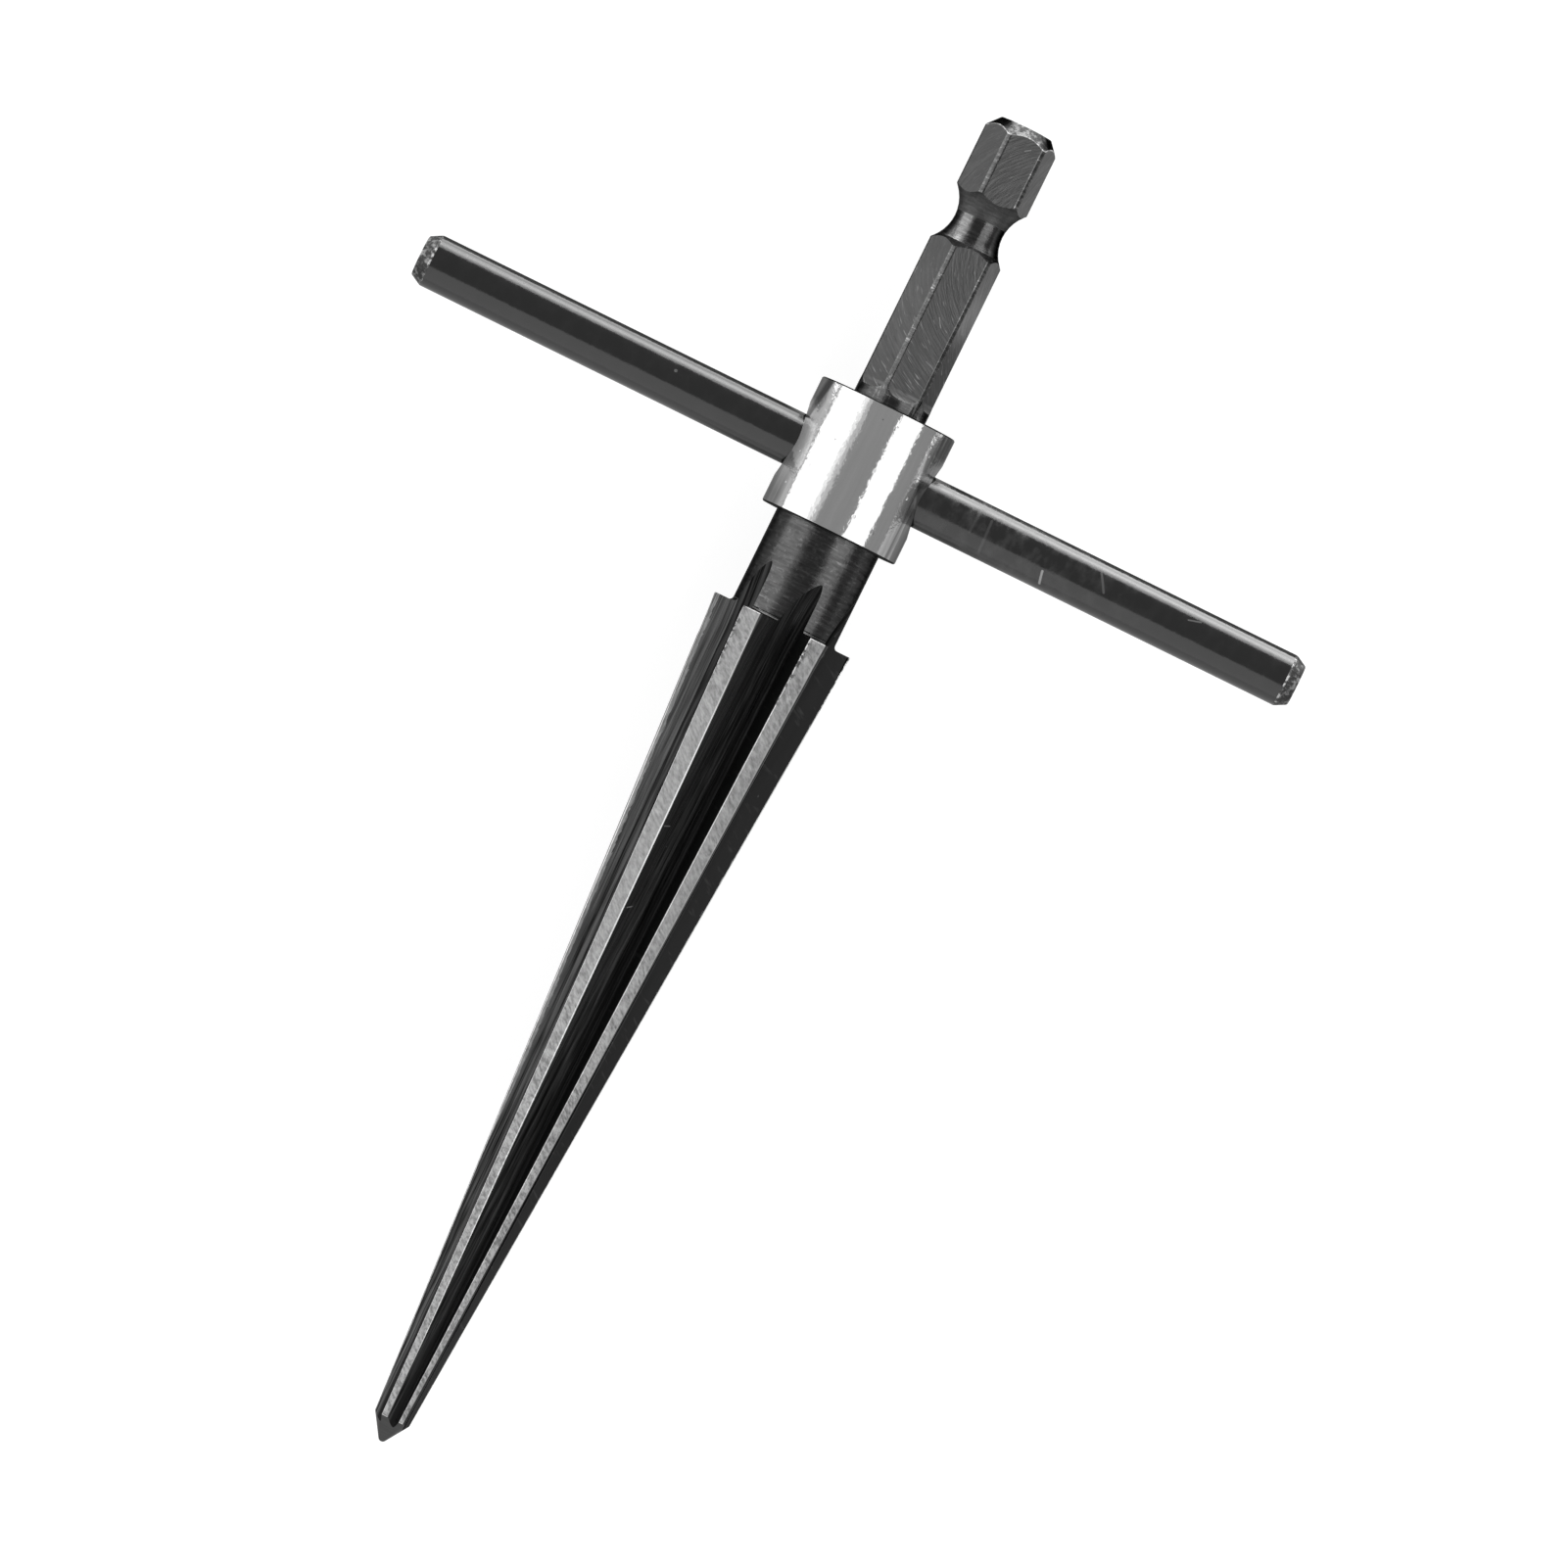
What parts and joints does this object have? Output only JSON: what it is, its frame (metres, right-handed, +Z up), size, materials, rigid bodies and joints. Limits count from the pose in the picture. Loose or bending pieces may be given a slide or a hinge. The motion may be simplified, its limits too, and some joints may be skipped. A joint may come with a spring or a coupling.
{
  "type": "t-handle hex reamer",
  "caption": "Hand taper reamer lying flat: straight-fluted tapered cutter with a cone point, bright collar, black cross bar and hex shank with a detent groove.",
  "frame": {"origin": "on the ground under the middle of the tool, which lies with its axis level and the collar's underside on the ground", "axes": "+Y along the tool's axis towards the hex shank, with the point at -Y; +X along the cross bar to the right as seen from above with the shank up; +Z up"},
  "size_m": [0.088, 0.1318, 0.0133],
  "materials": {
    "blackened_steel": "black oxide over turned and milled steel, with the lands ground bright",
    "bright_collar": "bright turned and polished",
    "black_bar": "glossy black oxide, worn bright on the chamfers"
  },
  "bodies": {
    "root": {"reamer_body": "blackened_steel", "collar": "bright_collar", "handle_bar": "black_bar"}
  },
  "joints": []
}
